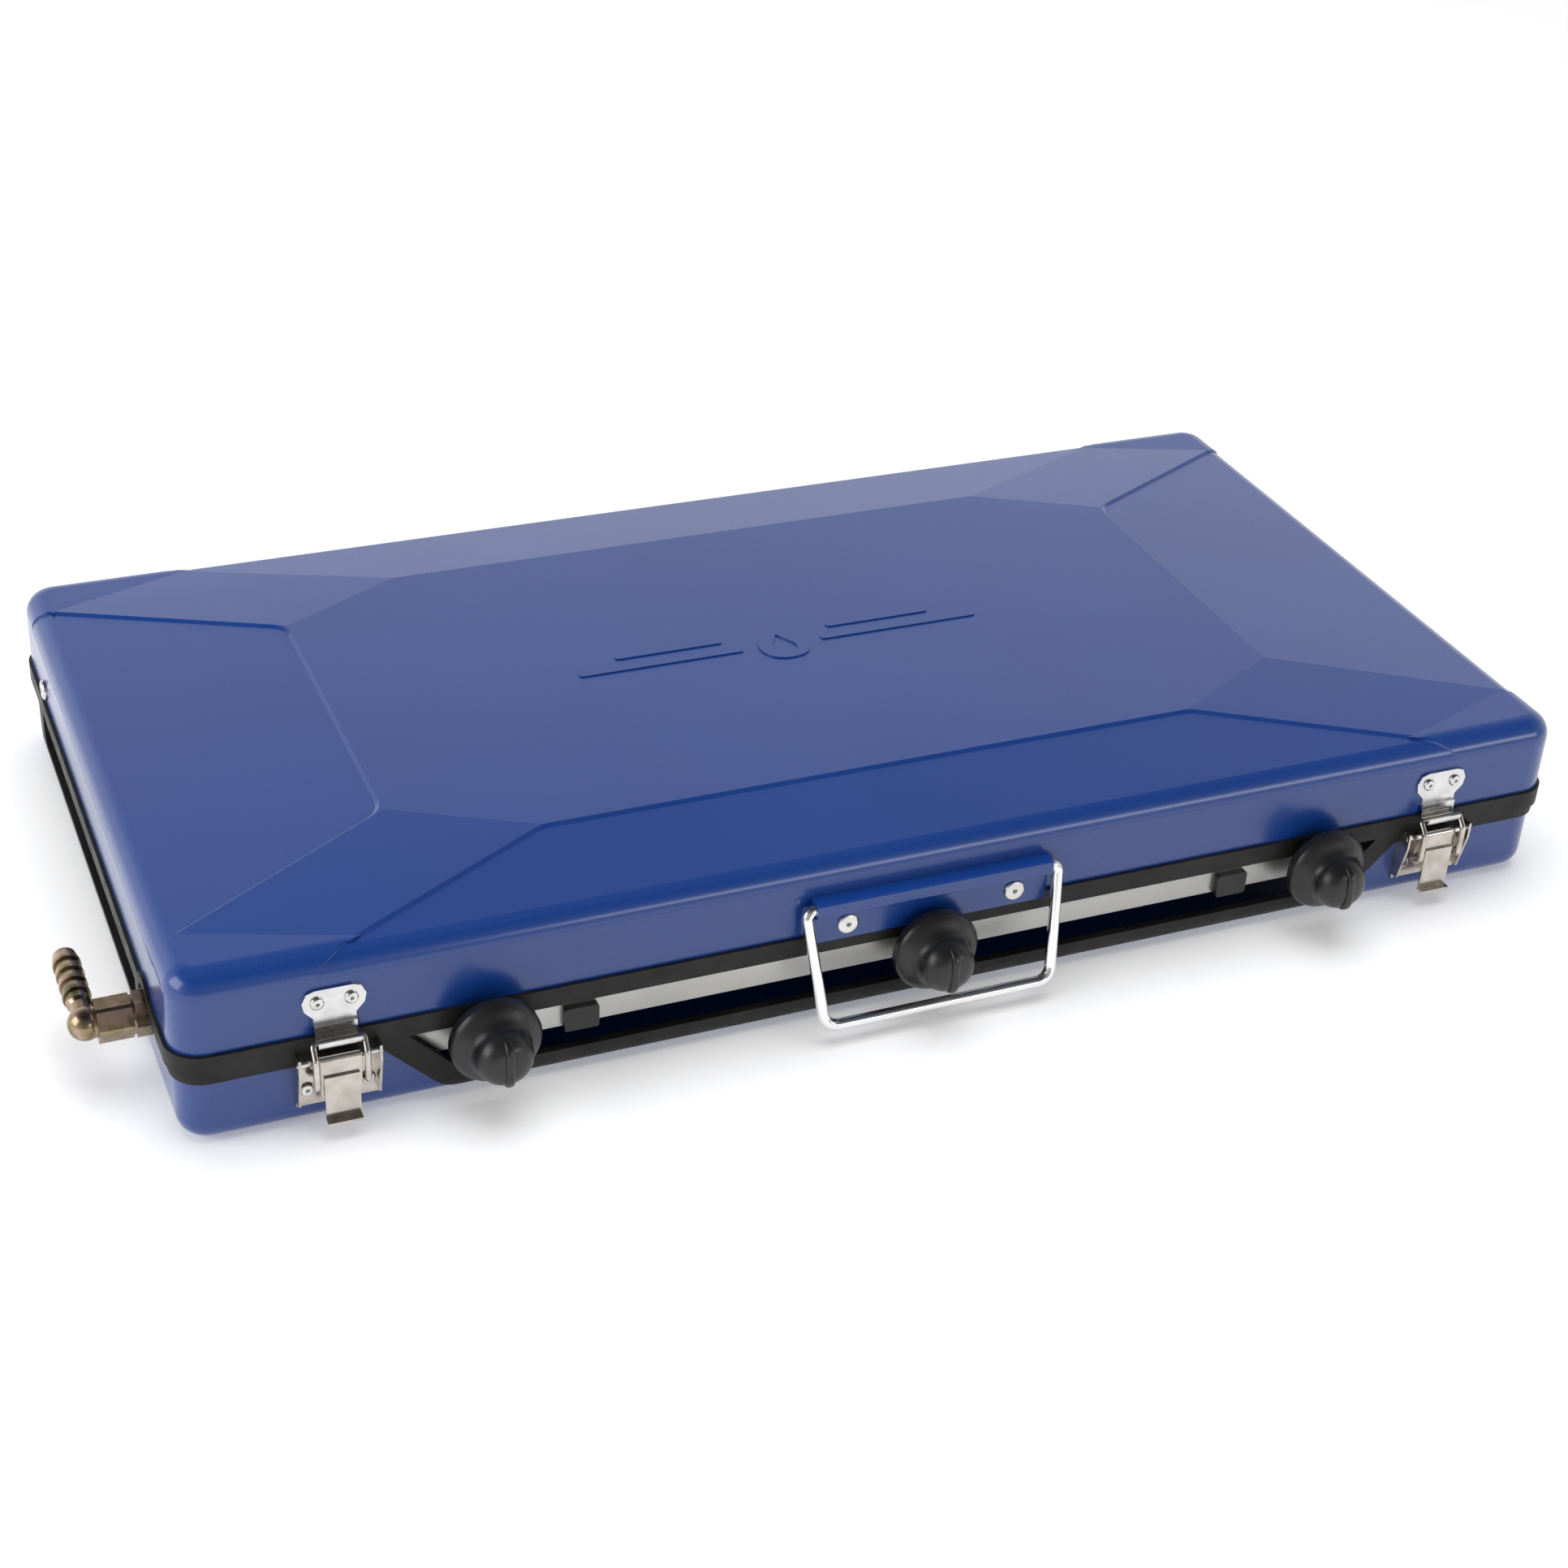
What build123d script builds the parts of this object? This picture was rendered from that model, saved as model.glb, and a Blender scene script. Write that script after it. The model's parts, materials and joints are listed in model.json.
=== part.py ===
"""Three-burner folding camping stove, closed for carrying: a sheet-metal case of a lid and a base tray.

Millimetres. +X runs to the right along the front, +Y to the back, +Z up.
The origin is the centre of the base tray's underside, on the surface that the stove stands on.
"""
import os
from math import atan2, degrees, radians, tan

from build123d import *

# ---- case ----------------------------------------------------------------------------------
LENGTH = 560.0          # lid wall to lid wall, along X
DEPTH = 297.0           # lid wall to lid wall, along Y
EDGE_HEIGHT = 70.6      # underside to the lid's top along its edges
CROWN_RISE = 4.4        # the middle of the lid's top stands this much higher than its edges
SHEET = 0.8             # thickness of the pressed steel
PARTING_Z = 31.4        # where the lid's trim meets the base's trim
PLAN_RADIUS = 12.0      # corner radius of the lid seen from above
LID_FILLET = 9.0        # round between the lid's top and its walls
BASE_FILLET = 8.0       # round between the floor and the base's walls
BASE_INSET = 1.2        # the base's walls stand this far inside the lid's

# ---- rubber edge trim ----------------------------------------------------------------------
LID_TRIM_TOP = 39.3     # upper edge of the lid's trim
LID_TRIM_PROUD = 1.3    # leg thickness of the lid's trim
BASE_TRIM_LOW = 27.0    # lower edge of the trim along the base's rim
TRIM_LEG = 1.2          # leg and bend thickness of the base's trim
TRIM_WIDTH = 9.0        # width of the trim around the cut-outs in the base
TRIM_FILLET = 9.0       # the trim's outside follows the base's lower round

# ---- cut-outs in the base's walls ----------------------------------------------------------
FRONT_GAP_HALF = 200.0  # half width of the knob gap at the rim
GAP_FLOOR_Z = 10.5      # top of the trimmed lip under each gap
FRONT_GAP_RADIUS = 10.0
SIDE_GAP_FRONT = -77.0
SIDE_GAP_BACK = 120.0
SIDE_GAP_RADIUS = 6.0

# ---- pressed panels in the lid's top -------------------------------------------------------
PANEL_DEPTH = 1.0
PANEL_SLOPE_DEG = 58.0
PANEL_RADIUS = 12.0
SIDE_PANEL_OUT = (270.8, 119.5)     # (x, y) where its slanted edges reach the lid's round
SIDE_PANEL_IN = (185.6, 72.3)
LONG_PANEL_OUT = (214.0, 139.3)
LONG_PANEL_IN = (134.5, 99.5)
PANEL_RUNOUT = 30.0                 # panels run on past the lid's edge
EMBLEM_RISE = 0.6
FLAME = (10.5, -14.0, 18.0)         # half width, foot and tip
FLAME_OPENING = (5.0, -10.0, 5.0)
FLAME_BELLY = 0.3                   # how far up the flame is widest
EMBLEM_BAR = 3.6
EMBLEM_BARS = [(52.0, -2.0, 70.0), (46.0, 7.0, 46.0)]       # middle, y and length of each bar

# ---- hob -----------------------------------------------------------------------------------
HOB_TOP = 38.0
HOB_HALF_X = 274.5
HOB_HALF_Y = 144.0
HOB_FRONT_LOW = 17.6    # lower edge of the hob's front flange
HOB_SIDE_LOW = 28.0
HOB_ROUND = 3.0
HOB_CORNER = 10.0       # corner radius of the hob seen from above
APRON_SLANT_LOW = 194.0     # the front flange's ends slant up from here
APRON_SLANT_HIGH = 206.0
APRON_END_LOW = HOB_FRONT_LOW + 12.0
PAN_LIP = 0.5
PAN_LIP_WIDTH = 1.8
WELL_DEPTH = 5.0
BURNER_Y = 6.0
TAP_X = {"left": -170.0, "middle": 0.0, "right": 170.0}
CUP_RADIUS = {"left": 24.0, "middle": 17.0, "right": 24.0}
WELL_RADIUS = {"left": 60.0, "middle": 45.0, "right": 60.0}
CLIP_X = 134.5
TRIVET_WIRE = 2.0
PRONG_WIRE = 1.8
TRIVET_TOP = 58.0       # axis height of the prongs that carry the pan
POSTS = [(x, y) for x in (-258.0, 258.0) for y in (-126.0, 126.0)]
POST_RADIUS = 4.5
SCREW_RADIUS = 2.0
SCREW_HEAD = (3.9, 2.2)         # radius and height
SCREW_ROUND = 1.2
SCREW_DEPTH = 12.0
SCREW_SLOT = (6.0, 1.0, 1.6)
CLIP_HALF = 6.5
CLIP_Y = (-146.8, -141.2)
CLIP_BELOW = 1.2        # the clip reaches this far below the flange's edge
CLIP_ABOVE = 8.5

# ---- burners -------------------------------------------------------------------------------
CUP_FLOOR = 12.0
CUP_RIM = 42.0
CUP_WALL = 2.0
CUP_FLANGE_Z = 30.0
CUP_FLANGE = 7.0        # width of the flange under the hob
CUP_CLEARANCE = 0.5
MIXER_RADIUS = 7.0
MIXER_BORE = 5.2
MIXER_END_Y = -76.0
MIXER_BELL = (9.5, 6.0)         # mouth radius and length
CAP_TOP = 47.5
CAP_OVERHANG = 2.0
CAP_DEPTH = 5.0
CAP_ROUND = 2.0
CAP_FIT = 0.1
PORTS = {"left": 28, "middle": 20, "right": 28}
PORT_SIZE = (12.0, 1.4, 2.6)
PRONG_REACH = {"left": 17.0, "middle": 12.0, "right": 17.0}
PRONG_BEND = 6.0
TRIVET_MARGIN = 6.0     # the trivet's frame stands this far outside the well
TRIVET_LIFT = 0.1

# ---- heat shield ---------------------------------------------------------------------------
SHIELD_HALF_X = 235.0
SHIELD_Y = (-68.0, 112.0)
SHIELD_Z = (4.0, 4.6)
SHIELD_RAIL = 4.0       # width of its feet

# ---- gas line ------------------------------------------------------------------------------
GAS_Z = 28.0            # height of the rail, the inlet and the knobs
RAIL_Y = -102.5
RAIL_RADIUS = 5.0
INJECTOR_Z = 22.0
SPINDLE_RADIUS = 3.0
RAIL_X = (-270.0, 186.0)
RAIL_WALL = 1.2
RAIL_PLUG = 3.0         # thickness of the rail's closed end
TAP_HALF = 9.0
TAP_Y = (-113.0, -92.0)
TAP_Z = (15.0, 36.0)
TAP_ROUND = 2.0
BONNET_END_Y = -136.0
BONNET_RADIUS = 7.5
COLLAR_Y = (-124.0, -117.0)
COLLAR_FLATS = 17.0
SPINDLE_END_Y = -117.0
SPINDLE_ROOM_Y = -115.0
BOSS_END_Y = -87.0
BOSS_RADIUS = 6.0
JET_ROOT_Y = -90.5
JET_THREAD = 3.0
JET_FLATS = 8.0
JET_HEX_Y = -82.0
JET_TIP_Y = -79.5
JET_TIP = 2.2
JET_BORE = 0.5
RUNNING_GAP = 0.06      # radial clearance of a shaft that turns
NOTCH_RADIUS = 9.0      # gap in the base's wall around the inlet
LID_NOTCH_RADIUS = 10.5
NUT_FLATS = 14.5
NUT_CORNER = 8.0        # the nut's corners are turned down to this radius
INLET_CLEARANCE = 8.8   # radius of the hob flange's notch round the inlet
TAIL_X = -301.8         # axis of the hose tail
TAIL_END_Y = -61.0
TAIL_CREST = 5.1        # radius over the barbs
TAIL_CORE = 4.3
BARB_PITCH = 6.5
BARB_COUNT = 4
BARB_LAND = 1.6         # straight part of each barb
ELBOW_RADIUS = 6.2
ELBOW_NECK = 3.5
NUT_END_X = -298.2      # the nut's outer face
NUT_SEAT_X = -286.0     # the nut's inner face
NUT_CORE_X = -292.0     # the inlet's tip inside the nut
NUT_NECK = 4.5
INLET_HEX_X = -272.0    # inner end of the inlet's hexagon
INLET_RADIUS = 5.0
INLET_SHOULDER = 6.5
INLET_END_X = -262.0
INLET_STOP_X = -266.0
INLET_BORE = 2.5
WASHER_RADIUS = 7.0
SEAT_DEPTH = 1.0        # thickness of the sealing washer

# ---- knobs ---------------------------------------------------------------------------------
KNOB_BACK_Y = -154.0
KNOB_FRONT_Y = -176.0
KNOB_RADIUS = 16.75
KNOB_CAP_RADIUS = 10.5
KNOB_DOME = 175.0               # the dome's tip stands this far in front of the centre
BLADE_ROOT_Y = -163.0
BLADE = (3.2, 19.6)             # thickness and height
BLADE_ROUND = 5.5
BLADE_EDGE = 1.2
SPINDLE_TIP_Y = -166.0
SKIRT_Y = -158.5                # the bell's straight rim ends here
SKIRT_BACK = (15.6, -155.5)     # its back edge is drawn in to this radius, from here
BELL_WAIST = (13.6, -162.0)
CAP_Y = -166.5
DOME_SHOULDER = (8.6, -172.4)

# ---- latches -------------------------------------------------------------------------------
LATCH_X = {"left": -224.5, "right": 224.5}
LEVER_AXIS = (-153.0, 31.0)     # (y, z) of the pin that the lever turns on
BAIL_AXIS = (-152.4, 20.0)      # (y, z) of the wire bail's pivot in the lever
HOOK_AXIS = (-153.0, 39.6)      # (y, z) of the strike hook's bend
BAIL_BAR_Z = 38.5               # the bail's crossbar, resting in the hook
BAIL_WIRE = 1.2
BAIL_HALF = 9.0
BAIL_BOW_Y = -157.2
LEVER_HALF = 7.2
LEVER_BARREL = 2.4
LEVER_SHEET = 1.0
LEVER_PLATE_LOW = 22.0
TONGUE_HALF = 6.25
TONGUE_SHEET = 1.1
TONGUE_Z = (7.5, 25.5)
TONGUE_LIP = 3.9                # how far the tongue's lip stands out
CHEEK_LOW = 16.8
CHEEK_HIGH = 30.0
CHEEK_BACK = (-150.3, 23.0)     # (y, z) where the cheeks turn down
EAR_HALF = 14.75
EAR_SHEET = 1.0
PIN_PROUD = 0.3
LATCH_PLATE_Z = (9.6, 26.9)
EAR_OUTLINE = [(-148.6, 26.9), (-148.6, 31.2), (-150.0, 31.2), (-150.0, 34.0), (-155.2, 34.0),
               (-155.2, 27.5), (-151.5, 11.5)]      # (y, z) of the ears' free edges
PLATE_SHEET = 1.2               # thickness of the latch's base plate
STRIKE_SHEET = 1.0
STRIKE_NECK = 7.5               # half width of the strike below its ears
STRIKE_LOW = 43.5
STRIKE_EARS = [(7.5, 46.5), (10.6, 50.0), (11.25, 53.5), (9.6, 57.0), (6.6, 58.0)]     # half width, z
HOOK_INSIDE = 2.4
HOOK_OUTSIDE = 3.1
HOOK_LIP = 0.8                  # how far the hook's lip stands above its bend
LATCH_RIVETS = [(x + dx, 16.5) for x in LATCH_X.values() for dx in (-10.8, 10.8)]
LATCH_SHANK = 1.6
STRIKE_RIVETS = [(x + dx, 53.0) for x in LATCH_X.values() for dx in (-6.0, 6.0)]
STRIKE_SHANK = 1.5

# ---- blind rivets --------------------------------------------------------------------------
RIVET_HEAD = 1.3        # height of the domed head
RIVET_ROUND = 1.0
RIVET_CORE = 0.5        # the sunk core's radius as a share of the shank's
BRACKET_RIVET_HEAD = 4.2
LATCH_RIVET_HEAD = 2.7
STRIKE_RIVET_HEAD = 2.5

# ---- handle --------------------------------------------------------------------------------
HANDLE_AXIS = (-152.0, 52.5)    # (y, z) of the wire inside the bracket
HANDLE_WIRE = 2.2
HANDLE_HALF_TOP = 51.3
HANDLE_HALF_LOW = 46.3
HANDLE_BAR = (-164.0, 8.0)      # (y, z) of the grip bar
BRACKET_HALF = 47.8
BRACKET_PROUD = 2.7             # the bracket's plate stands this far out over the trim
BRACKET_RIVETS = [(-34.0, 43.5), (34.0, 43.5)]      # (x, z)
BRACKET_SHANK = 2.0

# ---- hinges --------------------------------------------------------------------------------
HINGE_X = {"left": -180.0, "right": 180.0}
HINGE_AXIS = (153.0, 31.4)      # (y, z)
HINGE_HALF = 20.0
KNUCKLE_RADIUS = 2.9
HINGE_PIN = 1.5
KNUCKLE_SPLIT = 7.0             # half width of the lid's knuckle
KNUCKLE_GAP = 0.3
LEAF_SHEET = 1.2
LEAF_WEB = 1.4                  # thickness of the webs that carry the knuckles
BASE_LEAF_Z = (10.0, 26.5)
LID_LEAF_Z = (40.0, 56.0)
STRAP_HALF_Y = 30.0
STRAP_HALF_Z = 6.0
SIDE_HEAD = (4.25, 1.8)         # radius and height of the side rivet's head
SIDE_HEAD_ROUND = 1.5
SIDE_TAIL = (3.6, 1.0)          # radius and thickness of its washer inside
SIDE_RIVET = (100.0, 46.3)      # (y, z)
SIDE_SHANK = 2.4

LID_Y = DEPTH / 2
LID_X = LENGTH / 2
BASE_Y = LID_Y - BASE_INSET
BASE_X = LID_X - BASE_INSET
OVERRUN = 20.0                  # how far a cutter runs past what it cuts


def slab(low, high):
    """A box from its lowest to its highest corner."""
    size = [high[i] - low[i] for i in range(3)]
    middle = [(high[i] + low[i]) / 2 for i in range(3)]
    return Pos(*middle) * Box(*size)


def rod_x(x_from, x_to, y, z, radius):
    """A round bar along X."""
    return Pos((x_from + x_to) / 2, y, z) * Rot(0, 90, 0) * Cylinder(radius, abs(x_to - x_from))


def rod_y(x, y_from, y_to, z, radius):
    """A round bar along Y."""
    return Pos(x, (y_from + y_to) / 2, z) * Rot(90, 0, 0) * Cylinder(radius, abs(y_to - y_from))


def rod_z(x, y, z_from, z_to, radius):
    """A round bar along Z."""
    return Pos(x, y, (z_from + z_to) / 2) * Cylinder(radius, abs(z_to - z_from))


def hex_x(x_from, x_to, y, z, flats):
    """A hexagonal bar along X, measured across its flats."""
    outline = Plane((min(x_from, x_to), y, z), x_dir=(0, 1, 0), z_dir=(1, 0, 0)) * RegularPolygon(
        flats / 2, 6, major_radius=False)
    return extrude(outline, abs(x_to - x_from))


def hex_y(x, y_from, y_to, z, flats):
    """A hexagonal bar along Y, measured across its flats."""
    outline = Plane((x, min(y_from, y_to), z), x_dir=(1, 0, 0), z_dir=(0, 1, 0)) * RegularPolygon(
        flats / 2, 6, major_radius=False)
    return extrude(outline, abs(y_to - y_from))


def profile_x(points, x_from, x_to):
    """A (y, z) outline drawn out along X."""
    outline = Plane((x_from, 0, 0), x_dir=(0, 1, 0), z_dir=(1, 0, 0)) * make_face(
        Polyline(*points, close=True))
    return extrude(outline, x_to - x_from)


def profile_y(points, y_from, y_to):
    """An (x, z) outline drawn out along Y."""
    outline = Plane((0, y_to, 0), x_dir=(1, 0, 0), z_dir=(0, -1, 0)) * make_face(
        Polyline(*points, close=True))
    return extrude(outline, y_to - y_from)


def rounded_block(half_x, half_y, radius, z_from, z_to):
    """An upright block with rounded corners in plan."""
    outline = Pos(0, 0, z_from) * RectangleRounded(2 * half_x, 2 * half_y, radius)
    return extrude(outline, z_to - z_from)


def end_edges(solid, at_z):
    """The edges of a solid that lie flat at one height."""
    return solid.edges().filter_by_position(Axis.Z, at_z - 0.01, at_z + 0.01)


def wire_sweep(points, radius, bends):
    """A round wire along points, with one bend radius for every inner point."""
    path = FilletPolyline(*points, radius=bends)
    section = Plane(path @ 0, z_dir=path % 0) * Circle(radius)
    return sweep(section, path)


# ---- base ----------------------------------------------------------------------------------
def front_gap(grow):
    """The knob gap in the front wall, grown evenly by a margin, as an (x, z) face."""
    slope = PARTING_Z - GAP_FLOOR_Z
    low_half = FRONT_GAP_HALF - slope
    high_half = FRONT_GAP_HALF + OVERRUN
    points = [(-high_half, PARTING_Z + OVERRUN), (-low_half, GAP_FLOOR_Z),
              (low_half, GAP_FLOOR_Z), (high_half, PARTING_Z + OVERRUN)]
    face = make_face(Polyline(*points, close=True))
    corners = face.vertices().filter_by_position(Axis.Y, GAP_FLOOR_Z - 1, GAP_FLOOR_Z + 1)
    face = fillet(corners, FRONT_GAP_RADIUS)
    return offset(face, grow) if grow else face


def side_gap(grow):
    """The air gap in a side wall, grown evenly by a margin, as a (y, z) face."""
    middle = (SIDE_GAP_FRONT + SIDE_GAP_BACK) / 2
    high = PARTING_Z + OVERRUN
    face = Pos(middle, (GAP_FLOOR_Z + high) / 2) * Rectangle(
        SIDE_GAP_BACK - SIDE_GAP_FRONT, high - GAP_FLOOR_Z)
    corners = face.vertices().filter_by_position(Axis.Y, GAP_FLOOR_Z - 1, GAP_FLOOR_Z + 1)
    face = fillet(corners, SIDE_GAP_RADIUS)
    return offset(face, grow) if grow else face


def through_front(face, y_from, y_to):
    """An (x, z) face drawn out through the front wall."""
    return extrude(Plane((0, y_to, 0), x_dir=(1, 0, 0), z_dir=(0, -1, 0)) * face, y_to - y_from)


def through_side(face, x_from, x_to):
    """A (y, z) face drawn out through a side wall."""
    return extrude(Plane((x_from, 0, 0), x_dir=(0, 1, 0), z_dir=(1, 0, 0)) * face, x_to - x_from)


def gap_cutters(grow):
    """Solids that open the front gap and both side gaps."""
    reach = OVERRUN / 2
    return [
        through_front(front_gap(grow), -LID_Y - reach, -LID_Y + reach),
        through_side(side_gap(grow), -LID_X - reach, -LID_X + reach),
        through_side(side_gap(grow), LID_X - reach, LID_X + reach),
    ]


def inlet_hole(radius):
    """A cutter for the gas inlet in the left wall."""
    return rod_x(-LID_X - OVERRUN / 2, -LID_X + OVERRUN / 2, RAIL_Y, GAS_Z, radius)


def make_base_shell():
    """The base tray: floor, low walls and the three trimmed gaps."""
    rim = PARTING_Z - TRIM_LEG
    outer = rounded_block(BASE_X, BASE_Y, PLAN_RADIUS - BASE_INSET, 0, rim)
    outer = fillet(end_edges(outer, 0), BASE_FILLET)
    inner_radius = PLAN_RADIUS - BASE_INSET - SHEET
    inner = rounded_block(BASE_X - SHEET, BASE_Y - SHEET, inner_radius, SHEET, rim + OVERRUN)
    inner = fillet(end_edges(inner, SHEET), BASE_FILLET - SHEET)
    shell = outer - inner - inlet_hole(NOTCH_RADIUS)
    for cutter in gap_cutters(TRIM_LEG):
        shell -= cutter
    for x, z in LATCH_RIVETS:
        shell -= rod_y(x, -BASE_Y - 1, -BASE_Y + 2, z, LATCH_SHANK)
    return shell


def make_base_trim(shell):
    """One rubber edging along the rim, down and round each gap, slotted for the sheet."""
    inside = SHEET + 2 * TRIM_LEG
    ring = rounded_block(LID_X, LID_Y, PLAN_RADIUS, BASE_TRIM_LOW, PARTING_Z)
    ring -= rounded_block(LID_X - inside, LID_Y - inside, PLAN_RADIUS - inside,
                          BASE_TRIM_LOW - 1, PARTING_Z + 1)
    front = through_front(front_gap(TRIM_WIDTH), -LID_Y, -LID_Y + inside)
    left = through_side(side_gap(TRIM_WIDTH), -LID_X, -LID_X + inside)
    right = through_side(side_gap(TRIM_WIDTH), LID_X - inside, LID_X)
    envelope = rounded_block(LID_X, LID_Y, PLAN_RADIUS, 0, PARTING_Z)
    envelope = fillet(end_edges(envelope, 0), TRIM_FILLET)
    trim = ring
    for band in (front, left, right):
        trim += band & envelope
    for cutter in gap_cutters(0):
        trim -= cutter
    return trim - inlet_hole(NOTCH_RADIUS) - shell


# ---- lid -----------------------------------------------------------------------------------
def panel(inner, outer, across, sign):
    """One pressed panel's outline, open towards the lid's edge, with its two inner corners rounded."""
    run = (outer[1] - inner[1]) / (outer[0] - inner[0]) * PANEL_RUNOUT
    far = outer[0] + PANEL_RUNOUT
    points = [(inner[0], inner[1]), (inner[0], -inner[1]), (far, -outer[1] - run), (far, outer[1] + run)]
    if across:
        points = [(y, x * sign) for x, y in points]
    else:
        points = [(x * sign, y) for x, y in points]
    face = make_face(Polyline(*points, close=True))
    axis = 1 if across else 0
    corners = [v for v in face.vertices() if abs(tuple(v)[axis]) < outer[0]]
    return fillet(corners, PANEL_RADIUS)


def press(inner, outer, across, sign, edge):
    """A panel's cutter: it follows the crown's slope, wide at the surface and narrower at its floor."""
    inset = PANEL_DEPTH * tan(radians(PANEL_SLOPE_DEG))
    face = panel(inner, outer, across, sign)
    cutter = loft([face, Pos(0, 0, -PANEL_DEPTH) * offset(face, -inset)])
    tilt = degrees(atan2(CROWN_RISE, outer[0] - inner[0])) * sign
    if across:
        hinge = Pos(0, sign * inner[0], edge + CROWN_RISE)
        return hinge * Rot(-tilt, 0, 0) * Pos(0, -sign * inner[0], 0) * cutter
    hinge = Pos(sign * inner[0], 0, edge + CROWN_RISE)
    return hinge * Rot(0, tilt, 0) * Pos(-sign * inner[0], 0, 0) * cutter


def crown(edge):
    """The low eight-sided rise of the lid's top."""
    outlines = []
    for side, long, z in ((SIDE_PANEL_OUT, LONG_PANEL_OUT, edge),
                          (SIDE_PANEL_IN, LONG_PANEL_IN, edge + CROWN_RISE)):
        corner = [(side[0], side[1]), (long[0], long[1])]
        points = corner + [(-x, y) for x, y in reversed(corner)]
        points += [(-x, -y) for x, y in corner] + [(x, -y) for x, y in reversed(corner)]
        outlines.append(Pos(0, 0, z) * make_face(Polyline(*points, close=True)))
    return loft(outlines, ruled=True)


def lid_block(inset, low, edge):
    """The lid's outside, or its hollow, with the rounds, the crown and the four pressed panels."""
    def rounded(top):
        block = rounded_block(LID_X - inset, LID_Y - inset, PLAN_RADIUS - inset, low, top)
        return fillet(end_edges(block, top), LID_FILLET - inset)
    block = rounded(edge) + crown(edge)
    lowered = rounded(edge - PANEL_DEPTH)
    long_in = (LONG_PANEL_IN[1], LONG_PANEL_IN[0])
    long_out = (LONG_PANEL_OUT[1], LONG_PANEL_OUT[0])
    for sign in (-1, 1):
        for inner, outer, across in ((SIDE_PANEL_IN, SIDE_PANEL_OUT, False), (long_in, long_out, True)):
            block -= press(inner, outer, across, sign, edge)
            near, far = sorted((sign * outer[0], sign * (outer[0] + PANEL_RUNOUT)))
            outline = Pos(0, 0, edge - LID_FILLET) * offset(panel(inner, outer, across, sign), -PANEL_DEPTH)
            column = extrude(outline, LID_FILLET + 1)
            if across:
                column &= slab((-LID_X, near, low), (LID_X, far, edge + 1))
            else:
                column &= slab((near, -LID_Y, low), (far, LID_Y, edge + 1))
            block -= column - lowered
    return block


def flame(width, foot, tip):
    """A flame's outline: round at its foot, pointed at its tip."""
    right = Spline((0, foot), (width, foot + FLAME_BELLY * (tip - foot)), (0, tip), tangents=[(1, 0), (-0.5, 1)])
    return make_face([right, mirror(right, Plane.YZ)])


def make_emblem():
    """A plain raised flame, open in its middle, between two pairs of long bars."""
    faces = [flame(*FLAME) - flame(*FLAME_OPENING)]
    for side in (-1, 1):
        for middle, y, length in EMBLEM_BARS:
            faces.append(Pos(side * middle, y) * SlotOverall(length, EMBLEM_BAR))
    top = EDGE_HEIGHT + CROWN_RISE
    return [extrude(Pos(0, 0, top - SHEET / 2) * face, EMBLEM_RISE + SHEET / 2) for face in faces]


def make_lid_shell():
    """The lid: a deep pressed cover with a crowned top, four recessed panels and a raised emblem."""
    low = PARTING_Z + LID_TRIM_PROUD
    shell = lid_block(0, low, EDGE_HEIGHT) - lid_block(SHEET, low - 1, EDGE_HEIGHT - SHEET)
    shell += make_emblem()
    shell -= inlet_hole(LID_NOTCH_RADIUS + LID_TRIM_PROUD)
    for side in (-1, 1):
        shell -= rod_x(side * (LID_X - 2), side * (LID_X + 1), *SIDE_RIVET, SIDE_SHANK)
    for x, z in BRACKET_RIVETS:
        shell -= rod_y(x, -LID_Y - 1, -LID_Y + 2, z, BRACKET_SHANK)
    for x, z in STRIKE_RIVETS:
        shell -= rod_y(x, -LID_Y - 1, -LID_Y + 2, z, STRIKE_SHANK)
    return shell


def make_lid_trim(shell):
    """The rubber edging round the lid's lower edge, arched over the gas inlet."""
    out = LID_TRIM_PROUD
    inside = SHEET + LID_TRIM_PROUD
    trim = rounded_block(LID_X + out, LID_Y + out, PLAN_RADIUS + out, PARTING_Z, LID_TRIM_TOP)
    trim -= rounded_block(LID_X - inside, LID_Y - inside, PLAN_RADIUS - inside,
                          PARTING_Z - 1, LID_TRIM_TOP + 1)
    arch = rod_x(-LID_X - out, -LID_X + inside, RAIL_Y, GAS_Z, LID_NOTCH_RADIUS + 4)
    trim += arch & slab((-LID_X - out, RAIL_Y - OVERRUN, PARTING_Z), (0, RAIL_Y + OVERRUN, EDGE_HEIGHT))
    return trim - inlet_hole(LID_NOTCH_RADIUS) - shell


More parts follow.
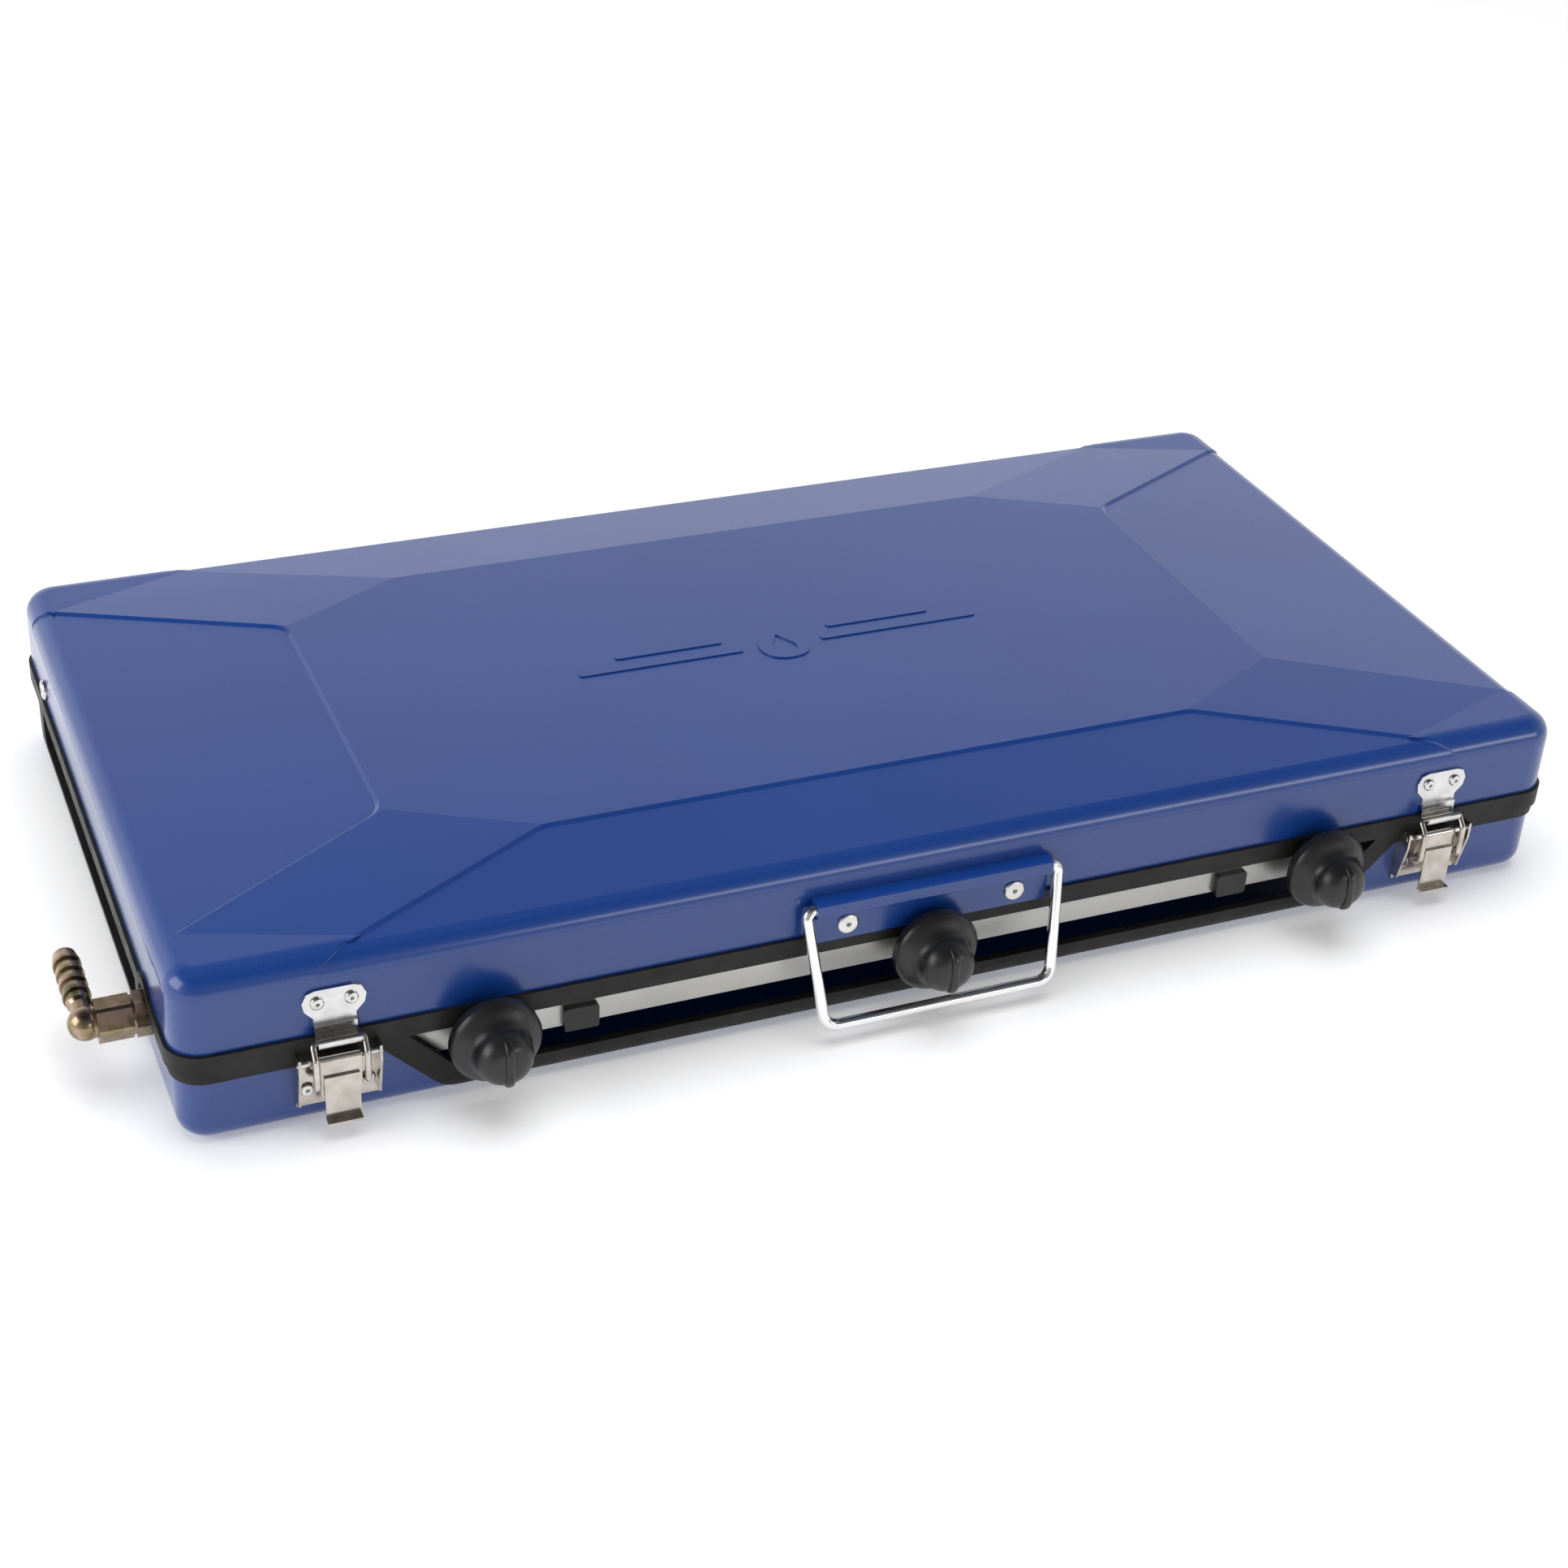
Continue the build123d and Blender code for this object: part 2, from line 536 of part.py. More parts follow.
# ---- hob -----------------------------------------------------------------------------------
def hob_fold():
    """The hob's folded border: the round, the low side flanges and the tall front flange."""
    def body(inset, drop):
        block = rounded_block(HOB_HALF_X - inset, HOB_HALF_Y - inset, HOB_CORNER - inset,
                              HOB_SIDE_LOW - drop, HOB_TOP - inset)
        return fillet(end_edges(block, HOB_TOP - inset), HOB_ROUND - inset)
    fold = body(0, 0) - body(SHEET, 1)
    fold -= rounded_block(HOB_HALF_X - HOB_ROUND, HOB_HALF_Y - HOB_ROUND, HOB_CORNER - HOB_ROUND,
                          HOB_SIDE_LOW, HOB_TOP + 1)
    half = HOB_HALF_X - HOB_CORNER
    front = -HOB_HALF_Y
    apron = slab((-half, front, HOB_FRONT_LOW), (half, front + SHEET, HOB_TOP - HOB_ROUND))
    for side in (-1, 1):
        slant = [(side * APRON_SLANT_LOW, HOB_FRONT_LOW - 1), (side * APRON_SLANT_HIGH, APRON_END_LOW),
                 (side * (half + 1), APRON_END_LOW), (side * (half + 1), HOB_FRONT_LOW - 1)]
        apron -= profile_y(slant, front - 1, front + 2)
    fold += apron
    for x in TAP_X.values():
        fold -= rod_y(x, front - 2, front + 3, GAS_Z, SPINDLE_RADIUS + 2)
    return fold - rod_x(-HOB_HALF_X - 1, -HOB_HALF_X + 3, RAIL_Y, GAS_Z, INLET_CLEARANCE)


def make_hob_plate():
    """The hob: a flat steel sheet with three holes, and its folded border in straight and corner lengths."""
    sheet = rounded_block(HOB_HALF_X - HOB_ROUND, HOB_HALF_Y - HOB_ROUND, HOB_CORNER - HOB_ROUND,
                          HOB_TOP - SHEET, HOB_TOP)
    for name, x in TAP_X.items():
        sheet -= rod_z(x, BURNER_Y, HOB_TOP - 2, HOB_TOP + 1, WELL_RADIUS[name])
    for x, y in POSTS:
        sheet -= rod_z(x, y, HOB_TOP - 2, HOB_TOP + 1, SCREW_RADIUS + 0.1)
    fold = hob_fold()
    bands_x = [-HOB_HALF_X - 1, -HOB_HALF_X + HOB_CORNER, HOB_HALF_X - HOB_CORNER, HOB_HALF_X + 1]
    bands_y = [-HOB_HALF_Y - 1, -HOB_HALF_Y + HOB_CORNER, HOB_HALF_Y - HOB_CORNER, HOB_HALF_Y + 1]
    lengths = []
    for i in range(3):
        for j in range(3):
            if (i, j) != (1, 1):
                lengths.append(fold & slab((bands_x[i], bands_y[j], 0), (bands_x[i + 1], bands_y[j + 1], HOB_TOP)))
    return [sheet] + lengths


def make_drip_pans():
    """The pressed pans round the burners, set into the hob's holes and resting on their lips."""
    pans = []
    for name, x in TAP_X.items():
        radius = WELL_RADIUS[name] - 0.1
        pan = rod_z(x, BURNER_Y, HOB_TOP - WELL_DEPTH - SHEET, HOB_TOP, radius)
        pan += rod_z(x, BURNER_Y, HOB_TOP, HOB_TOP + PAN_LIP, radius + PAN_LIP_WIDTH)
        pan -= rod_z(x, BURNER_Y, HOB_TOP - WELL_DEPTH, HOB_TOP + 1, radius - SHEET)
        pans.append(pan - rod_z(x, BURNER_Y, HOB_SIDE_LOW, HOB_TOP, CUP_RADIUS[name] + CUP_CLEARANCE))
    return pans


def make_hob_posts():
    """Four tubular posts that carry the hob above the base's floor."""
    posts = []
    for x, y in POSTS:
        tube = rod_z(x, y, SHEET, HOB_TOP - SHEET, POST_RADIUS)
        posts.append(tube - rod_z(x, y, HOB_TOP - SCREW_DEPTH - 2, HOB_TOP, SCREW_RADIUS))
    return posts


def make_hob_screws():
    """Pan-head screws through the hob into its posts."""
    screws = []
    for x, y in POSTS:
        radius, height = SCREW_HEAD
        head = rod_z(x, y, HOB_TOP, HOB_TOP + height, radius)
        head = fillet(end_edges(head, HOB_TOP + height), SCREW_ROUND)
        shank = rod_z(x, y, HOB_TOP - SCREW_DEPTH, HOB_TOP, SCREW_RADIUS)
        slot = Pos(x, y, HOB_TOP + height) * Box(*SCREW_SLOT)
        screws.append(head + shank - slot)
    return screws


def make_hob_clips():
    """Two black buffers gripping the lower edge of the hob's front flange."""
    clips = []
    for side in (-1, 1):
        x = side * CLIP_X
        block = slab((x - CLIP_HALF, CLIP_Y[0], HOB_FRONT_LOW - CLIP_BELOW),
                     (x + CLIP_HALF, CLIP_Y[1], HOB_FRONT_LOW + CLIP_ABOVE))
        block = fillet(block.edges().filter_by(Axis.Y), 1.0)
        slot = slab((x - CLIP_HALF - 1, -HOB_HALF_Y, HOB_FRONT_LOW),
                    (x + CLIP_HALF + 1, -HOB_HALF_Y + SHEET, HOB_TOP))
        clips.append(block - slot)
    return clips


def make_heat_shield():
    """A bright tray under the burners that keeps their heat off the floor."""
    front, back = SHIELD_Y
    under, top = SHIELD_Z
    tray = slab((-SHIELD_HALF_X, front, under), (SHIELD_HALF_X, back, top))
    for side in (-1, 1):
        low, high = sorted((side * SHIELD_HALF_X, side * (SHIELD_HALF_X - SHIELD_RAIL)))
        tray += slab((low, front, SHEET), (high, back, top))
    return tray


# ---- burners -------------------------------------------------------------------------------
def make_burner_body(name):
    """A cast burner cup with its mixing tube running forward to the injector."""
    x = TAP_X[name]
    radius = CUP_RADIUS[name]
    mouth, length = MIXER_BELL
    body = rod_z(x, BURNER_Y, CUP_FLOOR, CUP_RIM, radius)
    body += rod_z(x, BURNER_Y, CUP_FLANGE_Z, HOB_TOP - WELL_DEPTH - SHEET, radius + CUP_FLANGE)
    body += rod_y(x, MIXER_END_Y, BURNER_Y, INJECTOR_Z, MIXER_RADIUS)
    body += Pos(x, MIXER_END_Y + length / 2, INJECTOR_Z) * Rot(90, 0, 0) * Cone(MIXER_RADIUS, mouth, length)
    body -= rod_z(x, BURNER_Y, CUP_FLOOR + CUP_WALL, CUP_RIM + 1, radius - CUP_WALL)
    return body - rod_y(x, MIXER_END_Y - 1, BURNER_Y, INJECTOR_Z, MIXER_BORE)


def make_burner_cap(name):
    """A flame spreader with ports cut all round, dropped into the cup."""
    x = TAP_X[name]
    radius = CUP_RADIUS[name]
    cap = rod_z(x, BURNER_Y, CUP_RIM, CAP_TOP, radius + CAP_OVERHANG)
    cap = fillet(end_edges(cap, CAP_TOP), CAP_ROUND)
    cap += rod_z(x, BURNER_Y, CUP_RIM - CAP_DEPTH, CUP_RIM, radius - CUP_WALL - CAP_FIT)
    cap -= rod_z(x, BURNER_Y, CUP_RIM - CAP_DEPTH - 1, CUP_RIM + 2, radius - CAP_DEPTH)
    for i in range(PORTS[name]):
        slot = Pos(radius - 0.5, 0, CUP_RIM + 0.6) * Box(*PORT_SIZE)
        cap -= Pos(x, BURNER_Y, 0) * Rot(0, 0, 360 * i / PORTS[name]) * slot
    return cap


def trivet_sizes(name):
    """A trivet's half width and the height of its frame."""
    return WELL_RADIUS[name] + TRIVET_MARGIN, HOB_TOP + TRIVET_WIRE + TRIVET_LIFT


def make_trivet_frame(name):
    """The square frame of a wire trivet, lying on the hob: four welded rods."""
    half, low = trivet_sizes(name)
    end = half + TRIVET_WIRE
    long_rods = [rod_x(-end, end, side * half, low, TRIVET_WIRE) for side in (-1, 1)]
    cross_rods = [rod_y(side * half, -half, half, low, TRIVET_WIRE) for side in (-1, 1)]
    cross_rods = [rod - long_rods[0] - long_rods[1] for rod in cross_rods]
    return [Pos(TAP_X[name], BURNER_Y, 0) * rod for rod in long_rods + cross_rods]


def make_trivet_prongs(name):
    """The four raised prongs welded on a trivet's frame, which carry the pan."""
    half, low = trivet_sizes(name)
    foot = low + TRIVET_WIRE
    route = [(half, 0, foot), (half, 0, TRIVET_TOP), (PRONG_REACH[name], 0, TRIVET_TOP)]
    prong = wire_sweep(route, PRONG_WIRE, PRONG_BEND)
    return [Pos(TAP_X[name], BURNER_Y, 0) * Rot(0, 0, turn) * prong for turn in (0, 90, 180, 270)]


# ---- gas line ------------------------------------------------------------------------------
def make_gas_rail():
    """The supply tube behind the knobs, closed at its right end."""
    left, right = RAIL_X
    tube = rod_x(left, right, RAIL_Y, GAS_Z, RAIL_RADIUS)
    return tube - rod_x(left - 1, right - RAIL_PLUG, RAIL_Y, GAS_Z, RAIL_RADIUS - RAIL_WALL)


def make_valve_body(name):
    """A tap: a block round the rail, a bonnet for the spindle and an outlet boss."""
    x = TAP_X[name]
    front, back = TAP_Y
    block = slab((x - TAP_HALF, front, TAP_Z[0]), (x + TAP_HALF, back, TAP_Z[1]))
    block = fillet(block.edges().filter_by(Axis.Y), TAP_ROUND)
    bonnet = rod_y(x, BONNET_END_Y, front, GAS_Z, BONNET_RADIUS)
    collar = hex_y(x, *COLLAR_Y, GAS_Z, COLLAR_FLATS)
    boss = rod_y(x, back, BOSS_END_Y, INJECTOR_Z, BOSS_RADIUS)
    body = block + bonnet + collar + boss
    body -= rod_x(x - TAP_HALF - 1, x + TAP_HALF + 1, RAIL_Y, GAS_Z, RAIL_RADIUS)
    body -= rod_y(x, BONNET_END_Y - 1, SPINDLE_ROOM_Y, GAS_Z, SPINDLE_RADIUS + RUNNING_GAP)
    return body - rod_y(x, back + 1, BOSS_END_Y + 1, INJECTOR_Z, JET_THREAD)


def make_injector(x):
    """A brass gas jet screwed into the tap's outlet."""
    jet = rod_y(x, JET_ROOT_Y, BOSS_END_Y, INJECTOR_Z, JET_THREAD)
    jet += hex_y(x, BOSS_END_Y, JET_HEX_Y, INJECTOR_Z, JET_FLATS)
    jet += rod_y(x, JET_HEX_Y, JET_TIP_Y, INJECTOR_Z, JET_TIP)
    return jet - rod_y(x, JET_ROOT_Y - 1, JET_TIP_Y + 1, INJECTOR_Z, JET_BORE)


def make_inlet_connector():
    """The hexagonal inlet on the rail's left end, reaching out through the wall's notch."""
    body = hex_x(NUT_SEAT_X + SEAT_DEPTH, INLET_HEX_X, RAIL_Y, GAS_Z, NUT_FLATS)
    body += rod_x(NUT_CORE_X, INLET_STOP_X, RAIL_Y, GAS_Z, INLET_RADIUS)
    body += rod_x(INLET_HEX_X, INLET_END_X, RAIL_Y, GAS_Z, INLET_SHOULDER)
    body -= rod_x(RAIL_X[0], INLET_END_X + 1, RAIL_Y, GAS_Z, RAIL_RADIUS)
    return body - rod_x(NUT_CORE_X - 1, INLET_STOP_X + 1, RAIL_Y, GAS_Z, INLET_BORE)


def make_inlet_washer():
    """The sealing washer between the inlet and the swivel nut."""
    seat = NUT_SEAT_X + SEAT_DEPTH
    washer = rod_x(NUT_SEAT_X, seat, RAIL_Y, GAS_Z, WASHER_RADIUS)
    return washer - rod_x(NUT_SEAT_X - 1, seat + 1, RAIL_Y, GAS_Z, INLET_RADIUS)


def make_swivel_nut():
    """The long nut that holds the hose tail on the inlet."""
    nut = hex_x(NUT_END_X, NUT_SEAT_X, RAIL_Y, GAS_Z, NUT_FLATS)
    nut &= rod_x(NUT_END_X, NUT_SEAT_X, RAIL_Y, GAS_Z, NUT_CORNER)
    nut -= rod_x(NUT_CORE_X - 1, NUT_SEAT_X + 1, RAIL_Y, GAS_Z, INLET_RADIUS)
    return nut - rod_x(NUT_END_X - 1, NUT_CORE_X, RAIL_Y, GAS_Z, NUT_NECK)


def make_hose_tail():
    """The elbow with its barbed tail, which points to the back and takes the gas hose."""
    root_y = RAIL_Y + 10.0
    outline = [(0, RAIL_Y), (ELBOW_NECK, RAIL_Y), (ELBOW_NECK, root_y), (TAIL_CORE, root_y + 1.5)]
    first = TAIL_END_Y - BARB_PITCH * BARB_COUNT
    for i in range(BARB_COUNT):
        y = first + BARB_PITCH * i
        outline += [(TAIL_CORE, y), (TAIL_CREST, y), (TAIL_CREST, y + BARB_LAND),
                    (TAIL_CORE, y + BARB_PITCH - 0.5)]
    outline += [(TAIL_CORE, TAIL_END_Y), (0, TAIL_END_Y)]
    tail = Pos(TAIL_X, 0, GAS_Z) * revolve(make_face(Polyline(*outline, close=True)), Axis.Y)
    elbow = Pos(TAIL_X, RAIL_Y, GAS_Z) * Sphere(ELBOW_RADIUS)
    elbow -= slab((NUT_END_X, RAIL_Y - 9, GAS_Z - 9), (NUT_END_X + 9, RAIL_Y + 9, GAS_Z + 9))
    arm = rod_x(TAIL_X, NUT_END_X, RAIL_Y, GAS_Z, ELBOW_RADIUS - 0.5)
    stub = rod_x(TAIL_X, -293.5, RAIL_Y, GAS_Z, 4.4)
    bore = rod_y(TAIL_X, RAIL_Y, TAIL_END_Y + 1, GAS_Z, 2.5)
    feed = rod_x(TAIL_X - 1, -292.0, RAIL_Y, GAS_Z, 2.4)
    return elbow + arm + stub + tail - bore - feed


# ---- knobs ---------------------------------------------------------------------------------
def make_knob(x):
    """A bell-shaped knob with a domed cap and a raised pinch blade."""
    rim = (KNOB_RADIUS, SKIRT_Y)
    cap = (KNOB_CAP_RADIUS, CAP_Y)
    flare = Spline(rim, BELL_WAIST, cap, tangents=[(-0.35, -1.0), (-0.1, -1.0)])
    dome = Spline(cap, DOME_SHOULDER, (0, -KNOB_DOME), tangents=[(0.1, -1.0), (-1.0, 0.0)])
    back = Polyline((0, -KNOB_DOME), (0, KNOB_BACK_Y), (SKIRT_BACK[0], KNOB_BACK_Y),
                    (KNOB_RADIUS, SKIRT_BACK[1]), rim)
    knob = revolve(make_face([back, flare, dome]), Axis.Y)
    thickness, height = BLADE
    blade = slab((-thickness / 2, KNOB_FRONT_Y, -height / 2), (thickness / 2, BLADE_ROOT_Y, height / 2))
    blade = fillet(blade.edges().filter_by(Axis.X), BLADE_ROUND)
    front = blade.edges().filter_by_position(Axis.Y, KNOB_FRONT_Y - 0.01, KNOB_FRONT_Y + 0.01)
    knob = Pos(x, 0, GAS_Z) * (knob + fillet(front, BLADE_EDGE))
    return knob - rod_y(x, KNOB_BACK_Y + 1, SPINDLE_TIP_Y, GAS_Z, SPINDLE_RADIUS)


def make_spindle(x):
    """The tap's spindle, which the knob is pushed onto."""
    return rod_y(x, SPINDLE_TIP_Y, SPINDLE_END_Y, GAS_Z, SPINDLE_RADIUS)


# ---- latches -------------------------------------------------------------------------------
def make_latch_base(x):
    """The latch's base plate on the base tray, with two ears for the lever's pin."""
    wall = -BASE_Y
    low, high = LATCH_PLATE_Z
    plate = slab((x - EAR_HALF, wall - PLATE_SHEET, low), (x + EAR_HALF, wall, high))
    outline = [(wall, EAR_OUTLINE[-1][1]), (wall, high)] + EAR_OUTLINE
    for side in (-1, 1):
        near, far = sorted((x + side * (EAR_HALF - EAR_SHEET), x + side * EAR_HALF))
        plate += profile_x(outline, near, far)
    plate -= rod_x(x - EAR_HALF - 1, x + EAR_HALF + 1, *LEVER_AXIS, BAIL_WIRE)
    for rivet_x, z in LATCH_RIVETS:
        plate -= rod_y(rivet_x, wall - 2, wall + 1, z, LATCH_SHANK)
    return plate


def make_latch_pin(x):
    """The pin that the lever turns on."""
    return rod_x(x - EAR_HALF - PIN_PROUD, x + EAR_HALF + PIN_PROUD, *LEVER_AXIS, BAIL_WIRE)


def rivet_y(x, y_face, z, head, shank, depth):
    """A blind rivet: a domed head standing out of a front face, its core sunk in the middle."""
    tip = y_face - RIVET_HEAD
    dome = rod_y(x, tip, y_face, z, head)
    dome = fillet(dome.edges().filter_by_position(Axis.Y, tip - 0.01, tip + 0.01), RIVET_ROUND)
    rivet = dome + rod_y(x, y_face, y_face + depth, z, shank)
    return rivet - rod_y(x, tip - 1, y_face, z, shank * RIVET_CORE)


def make_lever(x):
    """The latch's lever: a rolled barrel, two cheeks for the bail and a tongue with a lip."""
    y, z = LEVER_AXIS
    face = y - LEVER_BARREL
    low, high = TONGUE_Z
    lever = rod_x(x - LEVER_HALF, x + LEVER_HALF, y, z, LEVER_BARREL)
    lever += slab((x - LEVER_HALF, face, LEVER_PLATE_LOW), (x + LEVER_HALF, face + LEVER_SHEET, z))
    back = face + 0.1
    lever += slab((x - TONGUE_HALF, back - TONGUE_SHEET, low), (x + TONGUE_HALF, back, high))
    lever += slab((x - TONGUE_HALF, back - TONGUE_LIP, low - 0.8), (x + TONGUE_HALF, back, low + 0.2))
    cheek = [(y - 2.0, CHEEK_LOW), (y - 2.0, CHEEK_HIGH), (y - 0.5, CHEEK_HIGH), CHEEK_BACK,
             (CHEEK_BACK[0], CHEEK_LOW)]
    for side in (-1, 1):
        near, far = sorted((x + side * (LEVER_HALF - LEVER_SHEET), x + side * LEVER_HALF))
        lever += profile_x(cheek, near, far)
    for axis in (LEVER_AXIS, BAIL_AXIS):
        lever -= rod_x(x - LEVER_HALF - 1, x + LEVER_HALF + 1, *axis, BAIL_WIRE + RUNNING_GAP)
    return lever


def make_bail(x):
    """The latch's wire bail: a crossbar in the hook, bowed legs and two turned-in ends."""
    y_end, z_end = BAIL_AXIS
    bar_y = HOOK_AXIS[0]
    inner = BAIL_HALF - 3.3
    half = [(0, bar_y, BAIL_BAR_Z), (BAIL_HALF, bar_y, BAIL_BAR_Z), (BAIL_HALF, BAIL_BOW_Y, 34.0),
            (BAIL_HALF, BAIL_BOW_Y, 22.5), (BAIL_HALF, y_end, z_end), (inner, y_end, z_end)]
    points = [(-px, py, pz) for px, py, pz in reversed(half[1:])] + half[1:]
    bail = wire_sweep(points, BAIL_WIRE, 1.3)
    return Pos(x, 0, 0) * bail


def make_strike_plate(x):
    """The lid's strike: an eared plate, a step over the trim and an upturned hook."""
    wall = -LID_Y
    neck = STRIKE_NECK
    right = [(neck, STRIKE_LOW)] + STRIKE_EARS
    ears = [(x - half, z) for half, z in right] + [(x + half, z) for half, z in reversed(right)]
    plate = profile_y(ears, wall - STRIKE_SHEET, wall)
    y, z = HOOK_AXIS
    face = y + HOOK_INSIDE
    step = STRIKE_LOW + 0.5
    plate += slab((x - neck, face, STRIKE_LOW - 0.5), (x + neck, wall, step))
    plate += slab((x - neck, face, z), (x + neck, y + HOOK_OUTSIDE, step))
    bend = rod_x(x - neck, x + neck, y, z, HOOK_OUTSIDE) - rod_x(x - neck - 1, x + neck + 1, y, z, HOOK_INSIDE)
    plate += bend & slab((x - neck, y - 4, z - 4), (x + neck, y + 4, z))
    plate += slab((x - neck, y - HOOK_OUTSIDE, z), (x + neck, y - HOOK_INSIDE, z + HOOK_LIP))
    for rivet_x, rivet_z in STRIKE_RIVETS:
        plate -= rod_y(rivet_x, wall - 2, wall + 1, rivet_z, STRIKE_SHANK)
    return plate


# ---- handle --------------------------------------------------------------------------------
def make_handle_bracket():
    """The folded bracket on the lid's front: a roll for the wire and a plate over the trim."""
    wall = -LID_Y
    y, z = HANDLE_AXIS
    face = wall - BRACKET_PROUD
    back = wall - LID_TRIM_PROUD - 0.1
    outline = [(wall, 56.0), (y - 3.2, 55.6), (y - 3.2, 50.6), (face, 47.9),
               (face, 37.0), (back, 37.0), (back, 41.0), (wall, 41.0)]
    bracket = profile_x(outline, -BRACKET_HALF, BRACKET_HALF)
    ridge = bracket.edges().filter_by(Axis.X).filter_by_position(Axis.Y, y - 3.3, y - 3.1)
    bracket = fillet(ridge, 1.1)
    bracket -= rod_x(-BRACKET_HALF - 1, BRACKET_HALF + 1, y, z, HANDLE_WIRE + 0.08)
    for x, rivet_z in BRACKET_RIVETS:
        bracket -= rod_y(x, wall - 4, wall + 1, rivet_z, BRACKET_SHANK + 0.05)
    return bracket


def make_handle_wire():
    """The carrying handle: one bright wire, its ends turned into the bracket."""
    y, z = HANDLE_AXIS
    bar_y, bar_z = HANDLE_BAR
    half = [(HANDLE_HALF_LOW, bar_y, bar_z), (HANDLE_HALF_TOP, y, z), (30.0, y, z)]
    points = [(-px, py, pz) for px, py, pz in reversed(half)] + half
    return wire_sweep(points, HANDLE_WIRE, [3.0, 6.0, 6.0, 3.0])


# ---- hinges and side rivets ----------------------------------------------------------------
def make_base_leaf(x):
    """The hinge leaf on the base's back wall, with two knuckles."""
    y, z = HINGE_AXIS
    low_z, high_z = BASE_LEAF_Z
    web = high_z - LEAF_WEB - 0.1
    leaf = slab((x - HINGE_HALF, BASE_Y, low_z), (x + HINGE_HALF, BASE_Y + LEAF_SHEET, high_z))
    for side in (-1, 1):
        low, high = sorted((x + side * (KNUCKLE_SPLIT + KNUCKLE_GAP), x + side * HINGE_HALF))
        leaf += slab((low, BASE_Y, web), (high, y - LEAF_WEB, high_z))
        leaf += slab((low, y - 2 * LEAF_WEB, web), (high, y - LEAF_WEB, z))
        leaf += rod_x(low, high, y, z, KNUCKLE_RADIUS)
    return leaf - rod_x(x - HINGE_HALF - 1, x + HINGE_HALF + 1, y, z, HINGE_PIN)


def make_lid_leaf(x):
    """The hinge leaf on the lid's back wall, with the middle knuckle."""
    y, z = HINGE_AXIS
    low_z, high_z = LID_LEAF_Z
    web = low_z + LEAF_WEB + 0.1
    leaf = slab((x - HINGE_HALF, LID_Y, low_z), (x + HINGE_HALF, LID_Y + LEAF_SHEET, high_z))
    low, high = x - KNUCKLE_SPLIT, x + KNUCKLE_SPLIT
    leaf += slab((low, LID_Y, low_z), (high, y - LEAF_WEB, web))
    leaf += slab((low, y - 2 * LEAF_WEB, z), (high, y - LEAF_WEB, web))
    leaf += rod_x(low, high, y, z, KNUCKLE_RADIUS)
    return leaf - rod_x(x - HINGE_HALF - 1, x + HINGE_HALF + 1, y, z, HINGE_PIN + RUNNING_GAP)


def make_hinge_pin(x):
    """A hinge pin, fixed in the base leaf."""
    return rod_x(x - HINGE_HALF, x + HINGE_HALF, *HINGE_AXIS, HINGE_PIN)


def make_side_strap(side):
    """A stiffening strap inside one end wall of the lid."""
    y, z = SIDE_RIVET
    wall = LID_X - SHEET
    low, high = sorted((side * wall, side * (wall - LEAF_SHEET)))
    strap = slab((low, y - STRAP_HALF_Y, z - STRAP_HALF_Z), (high, y + STRAP_HALF_Y, z + STRAP_HALF_Z))
    return strap - rod_x(side * (wall - LEAF_SHEET - 1), side * (wall + 1), y, z, SIDE_SHANK)


def make_side_rivet(side):
    """The domed rivet through an end wall of the lid and its strap."""
    y, z = SIDE_RIVET
    radius, height = SIDE_HEAD
    tail, thickness = SIDE_TAIL
    tip = side * (LID_X + height)
    inner = LID_X - SHEET - LEAF_SHEET
    head = rod_x(side * LID_X, tip, y, z, radius)
    head = fillet(head.edges().filter_by_position(Axis.X, tip - 0.01, tip + 0.01), SIDE_HEAD_ROUND)
    shank = rod_x(side * (inner - thickness), side * LID_X, y, z, SIDE_SHANK)
    rivet = head + shank + rod_x(side * (inner - thickness), side * inner, y, z, tail)
    return rivet - rod_x(side * LID_X, tip + side, y, z, SIDE_SHANK * RIVET_CORE)


